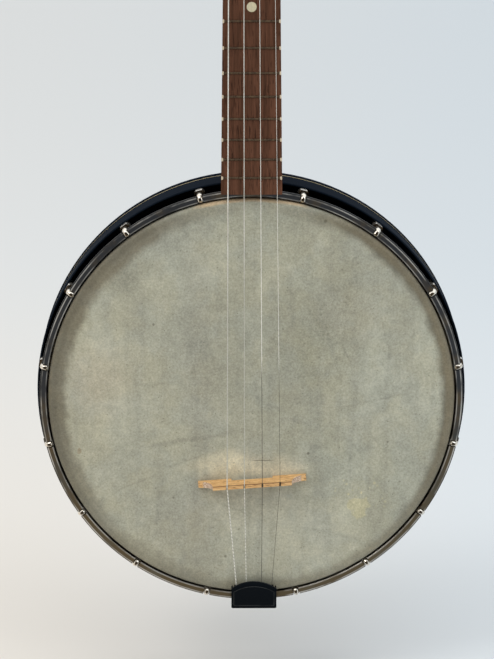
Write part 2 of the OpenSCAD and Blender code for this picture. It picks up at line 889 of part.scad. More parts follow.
shell();
tone_ring();
head_skin();
flesh_hoop();
tension_hoop();
hooks();
shoes();
shoe_screws();
hook_nuts();
dowel_stick();
neck_brace();
brace_screws();
resonator();
pinstripe();
spacers();
resonator_screws();
end_pin();
tail_spacer();
tailpiece_base();
hinge_pin();
tailpiece_cover();
bridge();
neck();
fretboard();
frets();
position_dots();
nut();
headstock_overlay();
peg_bushes();
peg_collars();
string_1();
string_2();
string_3();
string_4();
peg_post_1();
peg_post_2();
peg_post_3();
peg_post_4();
peg_button_1();
peg_button_2();
peg_button_3();
peg_button_4();
peg_screw_1();
peg_screw_2();
peg_screw_3();
peg_screw_4();
winding_1();
winding_2();
winding_3();
winding_4();
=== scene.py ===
"""Banjo: the looks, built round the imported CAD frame. Metres, in the frame's own axes."""
import json
import math

import bmesh
import bpy
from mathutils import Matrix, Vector, noise


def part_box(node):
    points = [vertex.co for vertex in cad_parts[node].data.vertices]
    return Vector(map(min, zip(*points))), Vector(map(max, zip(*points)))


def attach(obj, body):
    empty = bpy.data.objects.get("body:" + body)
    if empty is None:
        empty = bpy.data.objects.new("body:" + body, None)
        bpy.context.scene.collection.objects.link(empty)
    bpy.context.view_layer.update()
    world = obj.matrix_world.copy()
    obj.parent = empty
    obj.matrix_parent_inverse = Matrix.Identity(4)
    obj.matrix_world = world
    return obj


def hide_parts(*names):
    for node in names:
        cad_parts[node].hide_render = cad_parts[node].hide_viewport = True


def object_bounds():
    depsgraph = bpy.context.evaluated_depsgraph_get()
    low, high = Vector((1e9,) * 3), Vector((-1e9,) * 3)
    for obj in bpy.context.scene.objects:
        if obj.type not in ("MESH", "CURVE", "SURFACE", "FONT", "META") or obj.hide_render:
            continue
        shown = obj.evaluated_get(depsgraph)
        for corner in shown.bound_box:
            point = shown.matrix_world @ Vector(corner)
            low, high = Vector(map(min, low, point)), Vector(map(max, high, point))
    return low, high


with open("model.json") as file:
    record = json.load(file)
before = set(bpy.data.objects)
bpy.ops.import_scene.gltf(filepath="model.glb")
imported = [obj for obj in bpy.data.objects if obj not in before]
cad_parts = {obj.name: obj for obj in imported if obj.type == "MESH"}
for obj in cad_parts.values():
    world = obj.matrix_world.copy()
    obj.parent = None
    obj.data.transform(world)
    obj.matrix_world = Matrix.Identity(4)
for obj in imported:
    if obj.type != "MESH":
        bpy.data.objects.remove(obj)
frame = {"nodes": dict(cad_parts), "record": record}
CAD_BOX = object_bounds()
NODES = frame["nodes"]
SLOT_OF = {s["node"]: s["material_slot"] for s in frame["record"]["subparts"]}
MM = 0.001

# ---------------------------------------------------------------- places taken from the frame

HOOP_LOW, HOOP_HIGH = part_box("tension_hoop")
FRONT_Y = HOOP_LOW.y  # the plane of the hoop's top
HOOP_R = HOOP_HIGH.x
SKIN_LOW, SKIN_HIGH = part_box("head_skin")
SKIN_Y = SKIN_LOW.y
SKIN_R = SKIN_HIGH.x
BOARD_LOW, BOARD_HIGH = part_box("fretboard")
BOARD_NUT_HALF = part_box("nut")[1].x
BRIDGE_LOW, BRIDGE_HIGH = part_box("bridge")
BRIDGE_FOOT_Y = BRIDGE_HIGH.y
BRIDGE_TURN = 4  # degrees, in the plane of the skin
NOTCH_X = (-16.9, -5, 7.4, 19.6)  # mm, where the strings cross the bridge


def pot_point(x, up, forward):
    """A point in the pot's frame, in millimetres: across, up the neck, forward of the hoop's top."""
    return Vector((x * MM, FRONT_Y - forward * MM, up * MM))


# ---------------------------------------------------------------- node helpers

def new_material(name, roughness=0.5, metallic=0.0, specular=0.5):
    """A material with its shader and a tree that has the object's own coordinates."""
    mat = bpy.data.materials.new(name)
    mat.use_nodes = True
    shader = mat.node_tree.nodes["Principled BSDF"]
    shader.inputs["Roughness"].default_value = roughness
    shader.inputs["Metallic"].default_value = metallic
    shader.inputs["Specular IOR Level"].default_value = specular
    return mat, Tree(mat.node_tree, shader)


class Tree:
    """Short calls for building one material's nodes."""

    def __init__(self, nodes, shader):
        self.t = nodes
        self.shader = shader
        self.place = nodes.nodes.new("ShaderNodeTexCoord").outputs["Object"]

    def feed(self, socket, value):
        if isinstance(value, bpy.types.NodeSocket):
            self.t.links.new(value, socket)
        elif isinstance(value, (tuple, list)) and len(value) == 3 and socket.type == "RGBA":
            socket.default_value = (*value, 1)
        else:
            socket.default_value = value

    def math(self, kind, a, b=0.0, c=0.0):
        n = self.t.nodes.new("ShaderNodeMath")
        n.operation = kind
        for socket, value in zip(n.inputs, (a, b, c)):
            self.feed(socket, value)
        return n.outputs[0]

    def vector(self, kind, a, b=(0, 0, 0), scale=1.0):
        n = self.t.nodes.new("ShaderNodeVectorMath")
        n.operation = kind
        self.feed(n.inputs[0], a)
        self.feed(n.inputs[1], b)
        if kind == "SCALE":
            self.feed(n.inputs["Scale"], scale)
        return n.outputs["Value"] if kind in ("LENGTH", "DISTANCE", "DOT_PRODUCT") else n.outputs[0]

    def mapped(self, scale=(1, 1, 1), turn=(0, 0, 0), shift=(0, 0, 0), place=None):
        n = self.t.nodes.new("ShaderNodeMapping")
        self.feed(n.inputs["Vector"], place or self.place)
        n.inputs["Scale"].default_value = scale
        n.inputs["Rotation"].default_value = turn
        n.inputs["Location"].default_value = shift
        return n.outputs[0]

    def noise(self, scale, detail=3.0, rough=0.5, distortion=0.0, place=None):
        n = self.t.nodes.new("ShaderNodeTexNoise")
        self.feed(n.inputs["Vector"], place or self.place)
        n.inputs["Scale"].default_value = scale
        n.inputs["Detail"].default_value = detail
        n.inputs["Roughness"].default_value = rough
        n.inputs["Distortion"].default_value = distortion
        return n.outputs["Fac"]

    def cells(self, scale, feature="F1", place=None):
        n = self.t.nodes.new("ShaderNodeTexVoronoi")
        n.feature = feature
        self.feed(n.inputs["Vector"], place or self.place)
        n.inputs["Scale"].default_value = scale
        return n.outputs["Distance"]

    def step(self, value, low, high, to_low=0.0, to_high=1.0):
        """value mapped smoothly from low..high to to_low..to_high."""
        n = self.t.nodes.new("ShaderNodeMapRange")
        n.interpolation_type = "SMOOTHSTEP"
        for name, v in (("Value", value), ("From Min", low), ("From Max", high),
                        ("To Min", to_low), ("To Max", to_high)):
            self.feed(n.inputs[name], v)
        return n.outputs[0]

    def mix(self, share, a, b, kind="MIX"):
        n = self.t.nodes.new("ShaderNodeMix")
        n.data_type = "RGBA"
        n.blend_type = kind
        self.feed(n.inputs[0], share)
        self.feed(n.inputs[6], a)
        self.feed(n.inputs[7], b)
        return n.outputs[2]

    def tint(self, colour, mask, strength, tone):
        """colour turned towards tone where mask is 1, by strength."""
        return self.mix(self.math("MULTIPLY", mask, strength), colour, tone)

    def split(self, vector):
        n = self.t.nodes.new("ShaderNodeSeparateXYZ")
        self.feed(n.inputs[0], vector)
        return n.outputs

    def facing(self):
        """The object's own normal, as its X, Y and Z."""
        return self.split(self.place.node.outputs["Normal"])

    def shift(self, scale, reach):
        """A random shift of place, up to half of reach metres each way along each axis."""
        n = self.t.nodes.new("ShaderNodeTexNoise")
        self.feed(n.inputs["Vector"], self.place)
        n.inputs["Scale"].default_value = scale
        n.inputs["Detail"].default_value = 3
        return self.vector("SCALE", self.vector("SUBTRACT", n.outputs["Color"], (0.5, 0.5, 0.5)), scale=reach)

    def moved(self, shift, share=1.0):
        """The place moved by a share of shift."""
        return self.vector("ADD", self.place, self.vector("SCALE", shift, scale=share))

    def bump(self, height, distance, strength=1.0):
        n = self.t.nodes.new("ShaderNodeBump")
        self.feed(n.inputs["Height"], height)
        n.inputs["Distance"].default_value = distance
        n.inputs["Strength"].default_value = strength
        return n.outputs[0]

    def out(self, colour=None, roughness=None, normal=None):
        for name, value in (("Base Color", colour), ("Roughness", roughness), ("Normal", normal)):
            if value is not None:
                self.feed(self.shader.inputs[name], value)


# ---------------------------------------------------------------- materials

def metal(name, colour, stain, roughness, stained=0.3, scratch=0.15, scale=1.0):
    """Plated or bare metal with tarnish in patches, fine pits and scratches."""
    mat, t = new_material(name, roughness, 1.0)
    # scale shrinks the patches and pits on small parts
    cloud = t.noise(90 * scale, 5, 0.6)
    fine = t.noise(900 * scale, 3, 0.6)
    brushed = t.noise(1.0, 2, 0.5, place=t.mapped(scale=(2600, 2600, 160)))
    patches = t.step(cloud, 0.62 - 0.35 * stained, 0.80 - 0.25 * stained)
    pits = t.step(fine, 0.66, 0.76)
    dirt = t.math("MAXIMUM", t.math("MULTIPLY", patches, 0.8), t.math("MULTIPLY", pits, 0.35))
    t.out(t.mix(dirt, colour, stain),
          t.math("ADD", roughness, t.math("MULTIPLY_ADD", dirt, 0.25, t.math("MULTIPLY", brushed, scratch))),
          t.bump(t.math("MULTIPLY_ADD", fine, 0.4, t.math("MULTIPLY", brushed, scratch * 2)), 0.00004, 0.5))
    return mat


def hook_nickel():
    """Polished nickel whose crown, facing the front, is painted dark inside a bright rim, a painted
    reflection; brown tarnish in patches.
    """
    mat, t = new_material("nickel", 0.12, 0.9)
    front = t.math("MULTIPLY", t.facing()[1], -1.0)
    cloud = t.noise(420, 3, 0.6)
    # Painted reflection: faces that look to the front are painted nearly black, while the rim stays bright.
    crown = t.step(t.math("MULTIPLY_ADD", cloud, 0.16, front), 0.86, 0.98)
    colour = t.mix(crown, (0.86, 0.80, 0.70), (0.050, 0.036, 0.022))
    colour = t.tint(colour, t.step(cloud, 0.56, 0.70), 0.5, (0.20, 0.13, 0.06))
    t.out(colour, t.math("MULTIPLY_ADD", cloud, 0.18, 0.04), t.bump(cloud, 0.00003, 0.4))
    return mat


def wood(name, dark, mid, light, grain=1.0, roughness=0.45, coat=0.0, pores=0.5, specular=0.5):
    """Wood with its grain along local Z: growth bands, fibres and pores."""
    mat, t = new_material(name, roughness, 0.0, specular)
    wander = t.noise(6 * grain, 3, 0.5, place=t.mapped(scale=(1, 1, 0.35)))
    bands = t.noise(1.0, 4, 0.55, 0.6, place=t.mapped(scale=(260 * grain, 260 * grain, 9 * grain)))
    fibres = t.noise(1.0, 3, 0.65, place=t.mapped(scale=(1500, 1500, 38)))
    open_pores = t.noise(1.0, 1, 0.4, place=t.mapped(scale=(1900, 1900, 90)))
    hole = t.step(open_pores, 0.60, 0.70)
    colour = t.mix(t.step(bands, 0.30, 0.62), dark, mid)
    pale = t.math("MULTIPLY_ADD", wander, 0.5, t.math("MULTIPLY", bands, 0.5))
    colour = t.mix(t.step(pale, 0.45, 0.66), colour, light)
    colour = t.tint(colour, t.step(fibres, 0.35, 0.7), 0.30, dark)
    colour = t.tint(colour, hole, pores, tuple(c * 0.35 for c in dark))
    height = t.math("MULTIPLY_ADD", hole, -pores, t.math("MULTIPLY", fibres, 0.35))
    rubbing = t.math("MULTIPLY_ADD", fibres, 0.14, t.math("MULTIPLY", hole, 0.2))
    t.out(colour, t.math("ADD", roughness, rubbing), t.bump(height, 0.00012, 0.35))
    t.shader.inputs["Coat Weight"].default_value = coat
    t.shader.inputs["Coat Roughness"].default_value = 0.18
    return mat


def lacquer(name, colour, roughness, coat=0.1, specular=0.1, dust=0.5, back_coat=None):
    """Black polished lacquer with orange peel, rubbed patches, fine scratches and settled dust.

    back_coat, where given, is the clear coat's weight on faces that look backwards.
    """
    mat, t = new_material(name, roughness, 0.0, specular)
    peel = t.noise(160, 2, 0.5)
    rubbed = t.noise(14, 4, 0.6)
    hair = t.noise(1.0, 2, 0.5, 0.8, place=t.mapped(scale=(70, 70, 1800), turn=(0.3, 0.5, 0.2)))
    scratch = t.step(hair, 0.64, 0.70)
    specks = t.step(t.noise(1400, 1, 0.4), 0.72, 0.80)
    worn = t.math("MULTIPLY", t.step(rubbed, 0.50, 0.75), 0.5)
    dusty = t.math("MULTIPLY", t.math("MAXIMUM", specks, t.math("MULTIPLY", worn, 0.35)), dust)
    shade = t.mix(dusty, colour, tuple(0.03 + 1.6 * c for c in colour))
    rubbing = t.math("MULTIPLY_ADD", worn, 0.22, t.math("MULTIPLY", scratch, 0.18))
    relief = t.math("MULTIPLY_ADD", scratch, -0.3, peel)
    t.out(shade, t.math("ADD", roughness, rubbing), t.bump(relief, 0.00006, 0.25))
    t.shader.inputs["IOR"].default_value = 1.05 if specular < 0.05 else 1.45
    t.shader.inputs["Coat Weight"].default_value = coat
    t.shader.inputs["Coat Roughness"].default_value = 0.08
    if back_coat is not None:
        t.feed(t.shader.inputs["Coat Weight"], t.step(t.facing()[1], 0.5, 0.95, coat, back_coat))
    return mat


def cream(name, light, dark, banded):
    """Bone or grained celluloid: pale, with soft parallel streaks and fine pores."""
    mat, t = new_material(name)
    streaks = t.noise(1.0, 3, 0.5, 0.4, place=t.mapped(scale=(420, 60, 60), turn=(0.1, 0.2, 0.3)))
    cloud = t.noise(70, 3, 0.5)
    pores = t.step(t.noise(1500, 1, 0.4), 0.66, 0.76)
    colour = t.mix(t.math("MULTIPLY", t.step(streaks, 0.42, 0.6), 0.6 * banded), light, dark)
    colour = t.tint(colour, t.step(cloud, 0.5, 0.8), 0.35, dark)
    colour = t.tint(colour, pores, 0.4, tuple(c * 0.5 for c in dark))
    t.out(colour, t.math("MULTIPLY_ADD", cloud, 0.2, 0.18), t.bump(pores, 0.00003, -0.3))
    t.shader.inputs["Subsurface Weight"].default_value = 0.15
    t.shader.inputs["Subsurface Radius"].default_value = (0.002, 0.0014, 0.0009)
    t.shader.inputs["Coat Weight"].default_value = 0.3
    return mat


def round_spot(t, place, cx, cz, rx, rz, soft):
    """1 inside an ellipse about (cx, cz) mm in the skin's plane, 0 outside, with a soft edge."""
    there = t.mapped(scale=(1 / (rx * MM), 0, 1 / (rz * MM)), shift=(-cx / rx, 0, -cz / rz), place=place)
    return t.step(t.vector("LENGTH", there), 1 + 0.5 * soft, 1 - 0.5 * soft)


# Tones on the skin: across, up, half width, half height (mm), colour, strength, softness
SKIN_TONES = [
    (-95, 10, 45, 70, (0.53, 0.51, 0.385), 0.60, 1.6),
    (-72, 96, 42, 30, (0.40, 0.405, 0.33), 0.55, 1.5),
    (-36, 34, 8, 105, (0.315, 0.30, 0.235), 0.60, 1.3),
    (-20, 20, 24, 60, (0.36, 0.36, 0.30), 0.30, 1.6),
    (50, 40, 36, 55, (0.285, 0.275, 0.195), 0.65, 1.5),
    (66, 60, 22, 16, (0.33, 0.285, 0.21), 0.25, 1.3),
    (98, 10, 30, 60, (0.52, 0.52, 0.42), 0.60, 1.5),
    (84, 92, 16, 24, (0.46, 0.46, 0.38), 0.35, 1.4),
    (55, -50, 44, 24, (0.37, 0.375, 0.29), 0.35, 1.6),
    (-3, -49, 35, 8, (0.84, 0.76, 0.55), 0.85, 1.3),
    (-117.3, -38, 1.5, 2.3, (0.27, 0.17, 0.07), 0.85, 0.3),
    (-2, -80, 38, 14, (0.56, 0.555, 0.47), 0.60, 1.5),
    (-37, -93, 6, 20, (0.30, 0.27, 0.19), 0.35, 1.5),
    (-52, -96, 20, 26, (0.46, 0.43, 0.33), 0.35, 1.5),
    (-30, -118, 14, 10, (0.30, 0.28, 0.21), 0.35, 1.4),
    (-105, -52, 26, 30, (0.42, 0.405, 0.31), 0.30, 1.6),
    (40, -100, 50, 24, (0.60, 0.585, 0.46), 0.68, 1.6),
    (-108, 14, 20, 22, (0.52, 0.44, 0.35), 0.35, 1.6),
    (-34, 128, 22, 9, (0.24, 0.245, 0.20), 0.55, 1.3),
    (38, 128, 22, 9, (0.24, 0.24, 0.19), 0.55, 1.3),
    (2, 122, 26, 10, (0.36, 0.37, 0.31), 0.40, 1.4),
    (-6, 88, 46, 30, (0.50, 0.49, 0.38), 0.35, 1.6),
    (-88, 96, 10, 22, (0.22, 0.225, 0.195), 0.45, 1.3),
    (-66, 112, 18, 8, (0.27, 0.275, 0.235), 0.45, 1.3),
]

# Marks on the skin: across, up, half width, half height (mm)
SCRATCH = (7.4, -43.8, 7.0, 0.32)
WORN_LOBES = [(71.8, -75.6, 4.6, 4.4), (78.4, -75.8, 4.4, 4.2), (75.2, -80.6, 4.6, 5.6)]
FLECKED = (78, -67, 21, 12)
RIM_BAND_R = 0.1285

# Soft creases: one end and the other (across, up), half width (mm), strength
CREASES = [
    ((-86, -34), (-2, -23), 2.8, 0.55),
    ((-92, 9), (-46, 12), 2.2, 0.25),
    ((-70, -52), (-22, -36), 1.3, 0.34),
    ((-96, -66), (-60, -50), 1.1, 0.42),
    ((40, 78), (64, 8), 3.0, 0.30),
    ((52, -8), (118, 6), 1.8, 0.25),
    ((-60, 62), (-84, 84), 1.1, 0.34),
    ((30, -92), (84, -104), 2.4, 0.25),
    ((62, 40), (70, 22), 1.1, 0.40),
    ((4, 30), (4, -40), 2.6, 0.26),
    ((-30, -70), (10, -92), 1.2, 0.30),
    ((88, 58), (96, 30), 1.0, 0.34),
    ((10, -12), (60, -20), 2.0, 0.20),
]


def crease(t, place, start, end, width):
    """1 along the line from start to end, fading to 0 at its sides and ends."""
    middle = Vector((start[0] + end[0], 0, start[1] + end[1])) * MM / 2
    along = Vector((end[0] - start[0], 0, end[1] - start[1])) * MM
    half = along.length / 2
    along.normalize()
    across = Vector((-along.z, 0, along.x))
    offset = t.vector("SUBTRACT", place, tuple(middle))
    u = t.math("ABSOLUTE", t.vector("DOT_PRODUCT", offset, tuple(along)))
    v = t.math("ABSOLUTE", t.vector("DOT_PRODUCT", offset, tuple(across)))
    return t.math("MULTIPLY", t.step(u, half, half * 0.4), t.step(v, width * MM, 0.0))


def skin_stains(t, colour, wobble):
    """The large soft tones of the hide and its creases."""
    for cx, cz, rx, rz, tone, strength, soft in SKIN_TONES:
        colour = t.tint(colour, round_spot(t, t.moved(wobble), cx, cz, rx, rz, soft), strength, tone)
    for start, end, width, strength in CREASES:
        fold = crease(t, t.moved(wobble, 0.35), start, end, width)
        colour = t.tint(colour, fold, strength, (0.235, 0.23, 0.185))
    return colour


def skin_rim(t, colour, wobble):
    """The band over the rim, darker all round: dirt and painted shade darken it from its inner edge; its
    outer part is grey at the left, in painted shade, and tan and blotched at the right, in painted light.
    """
    x, _, z = t.split(t.place)
    radius = t.vector("LENGTH", t.mapped(scale=(1, 0, 1), place=t.moved(wobble, 0.22)))
    left = t.step(x, 0.05, -0.10)
    blotch = t.step(t.noise(48, 4, 0.6), 0.34, 0.62)
    inner = t.math("MULTIPLY_ADD", blotch, 0.0025, t.math("MULTIPLY_ADD", left, -0.0035, RIM_BAND_R))
    lower = t.step(z, -0.12, -0.01, 0.40, 1.0)
    round_band = t.math("MULTIPLY", t.step(z, 0.136, 0.112, 0.15, 1.0), lower)
    # Dirt and painted shade: the band darkens from its inner edge, brown at the left and darker at the right.
    shaded = t.step(radius, t.math("SUBTRACT", inner, 0.0015), t.math("ADD", inner, 0.0055))
    colour = t.tint(colour, shaded, t.math("MULTIPLY", round_band, 0.92),
                    t.mix(left, (0.165, 0.148, 0.102), (0.215, 0.192, 0.135)))
    # Painted light and shade: the outer band is painted tan at the right, where light falls, and grey at the
    # left, in shade.
    outer = t.step(radius, RIM_BAND_R + 0.004, RIM_BAND_R + 0.0075)
    colour = t.tint(colour, outer, t.math("MULTIPLY", round_band, 0.80),
                    t.mix(left, (0.225, 0.190, 0.125), (0.165, 0.148, 0.105)))
    # Painted highlight: the tan strip on the skin's edge beside the end of the fretboard, where light from
    # above falls
    beside = t.math("MULTIPLY", t.step(z, 0.128, 0.134), t.step(t.math("ABSOLUTE", x), 0.042, 0.030))
    top_edge_highlight = t.math("MULTIPLY", t.step(radius, 0.1375, 0.1392), beside)
    return t.tint(colour, top_edge_highlight, 0.8, (0.62, 0.45, 0.27))


def skin_specks(t, colour):
    """Specks and a few larger freckles."""
    speck = t.math("MULTIPLY", t.step(t.cells(330), 0.20, 0.10), t.step(t.noise(160, 2, 0.5), 0.50, 0.60))
    colour = t.tint(colour, speck, 0.50, (0.15, 0.14, 0.10))
    freckle = t.math("MULTIPLY", t.step(t.cells(62), 0.085, 0.045), t.step(t.noise(33, 1, 0.5), 0.50, 0.58))
    return t.tint(colour, freckle, 0.6, (0.12, 0.105, 0.07))


def skin_wear(t, colour, wobble):
    """The scratch beside the third string, the worn cream spot, and the flecks round it."""
    colour = t.tint(colour, round_spot(t, t.place, *SCRATCH, 0.8), 0.65, (0.10, 0.095, 0.07))
    rough_edge = t.moved(t.shift(260, 0.006))
    worn = 0.0
    for lobe in WORN_LOBES:
        worn = t.math("MAXIMUM", worn, round_spot(t, rough_edge, *lobe, 0.35))
    around = t.math("MULTIPLY", round_spot(t, t.moved(wobble), *FLECKED, 0.8),
                    t.step(t.noise(210, 1, 0.5), 0.45, 0.53))
    flecks = t.math("MULTIPLY", t.step(t.cells(260), 0.34, 0.16), around)
    return t.tint(colour, t.math("MAXIMUM", worn, flecks), 0.85, (0.60, 0.56, 0.37))


def skin_levels(t, colour):
    """The hide's grain at three sizes, and patches that lean warm or cool."""
    grain = t.step(t.noise(760, 4, 0.75), 0.30, 0.70, 0.84, 1.14)
    curdle = t.step(t.noise(150, 5, 0.72, 0.3), 0.32, 0.68, 0.90, 1.09)
    patch = t.step(t.noise(1.0, 4, 0.60, 0.5, place=t.mapped(scale=(26, 1, 15))), 0.34, 0.66, 0.93, 1.06)
    level = t.math("MULTIPLY", t.math("MULTIPLY", grain, curdle), t.math("MULTIPLY", patch, 0.90))
    lean = t.mix(t.step(t.noise(31, 3, 0.6), 0.40, 0.60), (1.012, 1.0, 0.965), (0.988, 1.0, 1.012))
    return t.vector("SCALE", t.mix(1.0, colour, lean, "MULTIPLY"), scale=level)


def calfskin():
    """Old calfskin: grey-green and mottled, darker at the rim, with specks, veins, stains and flecks."""
    mat, t = new_material("calfskin", 0.62, 0.0, 0.35)
    wobble = t.shift(26, 0.020)
    colour = skin_stains(t, (0.42, 0.415, 0.325), wobble)
    # Mottle, upright streaks from the hide, and fibres
    mottle = t.noise(42, 5, 0.62)
    colour = t.tint(colour, t.step(mottle, 0.42, 0.66), 0.25, (0.53, 0.515, 0.41))
    colour = t.tint(colour, t.step(t.noise(23, 5, 0.65, 0.6), 0.48, 0.70), 0.24, (0.285, 0.275, 0.21))
    streak = t.noise(1.0, 3, 0.5, 0.3, place=t.mapped(scale=(120, 1, 9)))
    colour = t.tint(colour, t.step(streak, 0.48, 0.68), 0.34, (0.31, 0.305, 0.25))
    fibre = t.noise(620, 4, 0.7)
    colour = t.tint(colour, t.step(fibre, 0.36, 0.64), 0.34, (0.56, 0.54, 0.43))
    colour = skin_specks(t, skin_rim(t, colour, wobble))
    # Veins
    vein = t.cells(17, "DISTANCE_TO_EDGE", t.moved(wobble, 1.2))
    faint = t.math("MULTIPLY", t.step(vein, 0.020, 0.0), t.step(t.noise(15, 1, 0.5), 0.52, 0.66))
    colour = t.tint(colour, faint, 0.12, (0.24, 0.23, 0.175))
    colour = skin_levels(t, skin_wear(t, colour, wobble))
    relief = t.math("MULTIPLY_ADD", mottle, 1.5, t.math("MULTIPLY", faint, -1.0))
    height = t.math("MULTIPLY_ADD", fibre, 0.5, relief)
    t.out(colour, t.math("MULTIPLY_ADD", mottle, 0.25, 0.48), t.bump(height, 0.00012, 0.40))
    t.shader.inputs["Subsurface Weight"].default_value = 0.08
    t.shader.inputs["Subsurface Radius"].default_value = (0.004, 0.003, 0.002)
    t.shader.inputs["Sheen Weight"].default_value = 0.08
    return mat


def hoop_metal():
    """The tension hoop's worn plating: gunmetal, browned where the hand and the air reach it."""
    mat, t = new_material("hoop_metal", 0.34, 1.0)
    _, _, z = t.split(t.place)
    low = t.step(z, 0.02, -0.13)
    cloud = t.noise(60, 5, 0.62)
    fine = t.noise(1100, 3, 0.6)
    brown = t.math("MULTIPLY", t.step(t.math("MULTIPLY_ADD", low, 0.28, cloud), 0.46, 0.80), 0.85)
    colour = t.mix(low, (0.040, 0.042, 0.046), (0.120, 0.108, 0.080))
    colour = t.mix(brown, colour, (0.115, 0.085, 0.048))
    colour = t.tint(colour, t.step(fine, 0.62, 0.74), 0.5, (0.06, 0.05, 0.035))
    # Painted highlight: a bright line along the crown of the outer bead and a bright band at the face's inner
    # edge; the outermost edge is darkened nearly to black
    radius = t.vector("LENGTH", t.mapped(scale=(1, 0, 1)))
    edge = t.step(radius, HOOP_R - 0.0009, HOOP_R - 0.0004)
    colour = t.tint(colour, edge, 0.8, (0.012, 0.012, 0.012))
    crown = t.math("MULTIPLY", t.step(radius, HOOP_R - 0.0017, HOOP_R - 0.0013),
                   t.step(radius, HOOP_R - 0.0006, HOOP_R - 0.0010))
    inside = t.math("MULTIPLY", t.step(radius, HOOP_R - 0.0038, HOOP_R - 0.0042), 0.7)
    crown = t.math("MAXIMUM", crown, inside)
    # The noise called rubbed only breaks up the painted highlights.
    rubbed = t.step(t.noise(34, 3, 0.6), 0.36, 0.60)
    colour = t.tint(colour, crown, t.math("MULTIPLY", rubbed, 0.75), (0.62, 0.60, 0.56))
    t.out(colour, t.math("MULTIPLY_ADD", cloud, 0.25, 0.24), t.bump(fine, 0.00004, 0.5))
    return mat


def string_steel(name, bright, dark, pitch=0.0):
    """String wire with grime along it; a wound one has slanting turns at the given pitch."""
    mat, t = new_material(name, 0.28, 1.0)
    grime = t.step(t.noise(1.0, 3, 0.6, place=t.mapped(scale=(400, 400, 60))), 0.42, 0.72)
    colour = t.mix(t.math("MULTIPLY", grime, 0.6), bright, dark)
    height = grime
    x, _, z = t.split(t.place)
    if pitch:
        # Painted light and shade: duller over the skin, painted bright again behind the bridge, and the
        # grooves between its turns painted darker, most where its turns show behind the bridge
        turns = t.math("SINE", t.math("MULTIPLY", t.math("MULTIPLY_ADD", x, 0.9, z), math.tau / pitch))
        colour = t.mix(t.step(z, 0.135, 0.06, 0.0, 0.85), colour, (0.50, 0.485, 0.41))
        colour = t.mix(t.step(z, -0.04, -0.07), colour, (0.80, 0.78, 0.70))
        below = t.step(z, -0.052, -0.062, 0.12, 0.45)
        height = t.step(turns, -0.9, 0.4)
        colour = t.tint(colour, t.math("SUBTRACT", 1.0, height), below, tuple(0.35 * c for c in dark))
    else:
        # Painted highlight: above the lower skin the plain string is painted near white; over the lower skin
        # it stays dark
        colour = t.mix(t.step(z, 0.016, 0.034), colour, (1.0, 0.97, 0.90))
    t.out(colour, t.math("MULTIPLY_ADD", grime, 0.25, 0.20), t.bump(height, 0.00010, 0.7))
    t.shader.inputs["Metallic"].default_value = 0.2 if pitch else 0.45
    return mat


def fret_metal():
    """Fret wire: tarnished along its length and rubbed bright where it meets the board's edges."""
    mat, t = new_material("fret_metal", 0.34, 0.55)
    x, _, z = t.split(t.place)
    half = t.step(z, BOARD_LOW.z, BOARD_HIGH.z, BOARD_HIGH.x, BOARD_NUT_HALF)
    inward = t.math("SUBTRACT", half, t.math("ABSOLUTE", x))
    tip = t.step(inward, 0.0017, 0.0012)
    tarnish = t.step(t.noise(420, 3, 0.6), 0.40, 0.66)
    along = t.mix(tarnish, (0.060, 0.036, 0.019), (0.105, 0.066, 0.034))
    t.out(t.mix(tip, along, (0.70, 0.58, 0.42)), t.math("MULTIPLY_ADD", tarnish, 0.2, 0.26),
          t.bump(tarnish, 0.00003, 0.4))
    return mat


def bridge_maple():
    """Maple with long streaks and brown flecks, pale rough end grain, a line of painted shade under the ridge
    and painted shade in the string notches.
    """
    mat, t = new_material("bridge_maple", 0.5, 0.0, 0.35)
    place = t.mapped(turn=(0, math.radians(-BRIDGE_TURN), 0))
    streak = t.noise(1.0, 4, 0.6, 0.5, place=t.mapped(scale=(34, 900, 900), place=place))
    fine = t.noise(1.0, 3, 0.6, place=t.mapped(scale=(160, 2600, 2600), place=place))
    fleck = t.noise(1.0, 2, 0.5, place=t.mapped(scale=(240, 1300, 1300), place=place))
    colour = t.mix(t.step(streak, 0.34, 0.64), (0.50, 0.25, 0.085), (0.82, 0.51, 0.22))
    colour = t.tint(colour, t.step(fine, 0.45, 0.7), 0.55, (0.86, 0.60, 0.31))
    colour = t.tint(colour, t.step(fleck, 0.60, 0.70), 0.75, (0.17, 0.075, 0.025))
    x, y, _ = t.split(t.place)
    high = t.math("SUBTRACT", BRIDGE_FOOT_Y, y)
    # Painted shade: a dark line along the bridge just under its ridge.
    ridge_shade = t.math("MULTIPLY", t.step(high, 0.0125, 0.0135), t.step(high, 0.01496, 0.01485))
    colour = t.tint(colour, ridge_shade, 0.80, (0.20, 0.085, 0.030))
    sideways = t.math("ABSOLUTE", t.facing()[0])
    grainy = t.noise(1500, 2, 0.7)
    pale = t.mix(t.step(grainy, 0.40, 0.62), (0.42, 0.25, 0.16), (0.74, 0.60, 0.46))
    colour = t.mix(t.step(sideways, 0.30, 0.45), colour, pale)
    # Painted shade: each string notch is darkened nearly to black down the upper face.
    for notch_x in NOTCH_X:
        near = t.step(t.math("ABSOLUTE", t.math("SUBTRACT", x, notch_x * MM)), 0.0008, 0.0004)
        depth = t.math("MULTIPLY", t.step(high, 0.0125, 0.0138), 0.95)
        colour = t.tint(colour, near, depth, (0.03, 0.013, 0.006))
    below_top = t.step(high, 0.0146, 0.0143)
    t.out(colour, t.math("MULTIPLY_ADD", grainy, 0.25, 0.40),
          t.bump(t.math("ADD", fine, t.math("MULTIPLY", below_top, 0.2)), 0.00012, 0.5))
    return mat


